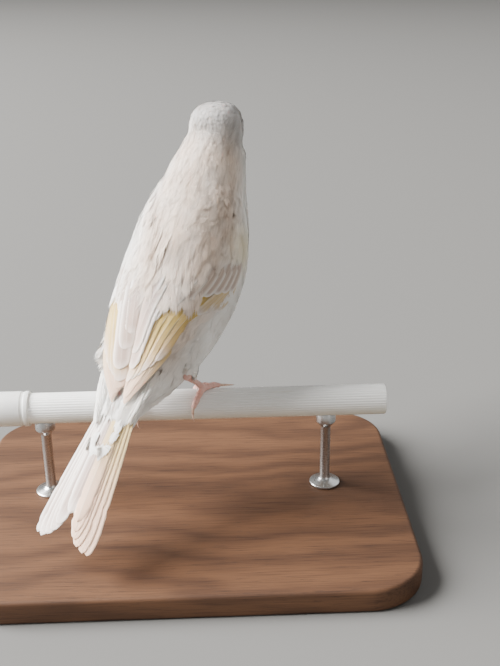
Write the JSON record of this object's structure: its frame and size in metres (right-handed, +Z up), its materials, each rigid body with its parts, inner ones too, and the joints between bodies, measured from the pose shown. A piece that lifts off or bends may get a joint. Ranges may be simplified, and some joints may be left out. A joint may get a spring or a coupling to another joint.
{
  "type": "canary",
  "caption": "Pale canary, a still life-size model perched with folded wings on a cut length of ribbed perch over a plain display stand.",
  "frame": {"origin": "centre of the stand's base, on the floor", "axes": "+Z up, +X along the perch to the right seen from behind the bird, +Y away across the perch; the bird looks along +Y and to the right"},
  "size_m": [0.128, 0.1, 0.1185],
  "materials": {
    "plumage": "soft, matt feathers",
    "wing_feathers": "soft, matt feathers with a yellow edge",
    "tail_feathers": "soft, matt feathers",
    "eye": "wet gloss",
    "bill_horn": "smooth horn",
    "leg_skin": "scaly skin",
    "claw_horn": "smooth horn",
    "perch_plastic": "satin, moulded",
    "stand_wood": "oiled",
    "stand_steel": "brushed"
  },
  "bodies": {
    "root": {"head": "plumage", "neck": "plumage", "eye_left": "eye", "eye_right": "eye", "bill_upper": "bill_horn", "bill_lower": "bill_horn", "claw_right_hind": "claw_horn", "claw_right_inner": "claw_horn", "claw_right_middle": "claw_horn", "claw_right_outer": "claw_horn", "foot_right": "leg_skin", "shank_right": "leg_skin", "claw_left_hind": "claw_horn", "claw_left_inner": "claw_horn", "claw_left_middle": "claw_horn", "claw_left_outer": "claw_horn", "foot_left": "leg_skin", "shank_left": "leg_skin", "wing_left": "wing_feathers", "wing_right": "wing_feathers", "tail": "tail_feathers", "torso": "plumage", "perch": "perch_plastic", "perch_collar": "perch_plastic", "stand_rod_left": "stand_steel", "stand_rod_right": "stand_steel", "stand_base": "stand_wood"}
  },
  "joints": []
}
